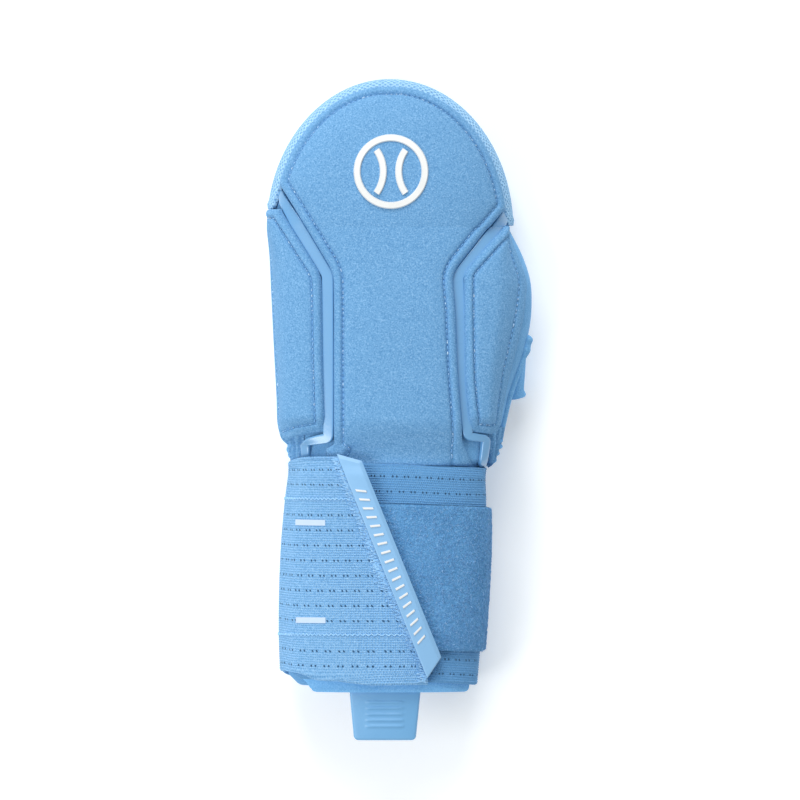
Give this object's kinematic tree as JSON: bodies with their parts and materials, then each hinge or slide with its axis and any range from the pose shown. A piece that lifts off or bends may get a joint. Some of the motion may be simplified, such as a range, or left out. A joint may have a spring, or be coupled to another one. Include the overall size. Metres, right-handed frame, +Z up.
{
  "type": "sliding mitt",
  "caption": "Padded left-hand sliding mitt with a rounded toe cap, stitched back panels in raised channels, a wide elastic wrist strap with a slanted bar, and a pull tab.",
  "frame": {"origin": "on the floor plane under the middle of the mitt's box, the mitt lying palm down", "axes": "+Z up out of the back of the hand, +Y to the fingertips, +X to the thumb side"},
  "size_m": [0.1217, 0.3027, 0.0558],
  "materials": {
    "neoprene": "matt stretch cloth over neoprene",
    "mesh_cloth": "coarse knitted mesh",
    "knit": "brushed knit over foam",
    "moulded": "satin moulded elastomer",
    "elastic": "ribbed woven elastic",
    "pile": "fuzzy loop pile",
    "white_mark": "raised white elastomer"
  },
  "bodies": {
    "root": {"mitt_shell": "neoprene", "toe_cap": "mesh_cloth", "back_panel": "knit", "side_panel_outer": "knit", "side_panel_thumb": "knit", "channel_strip_outer": "moulded", "channel_strip_thumb": "moulded", "emblem": "white_mark", "thumb_stall": "neoprene", "thumb_hem": "neoprene", "gather_outer": "neoprene", "gather_thumb": "neoprene", "cuff": "neoprene", "cuff_flap": "neoprene", "wrist_strap": "elastic", "loop_patch": "pile", "strap_bar": "moulded", "pull_tab": "moulded"}
  },
  "joints": []
}
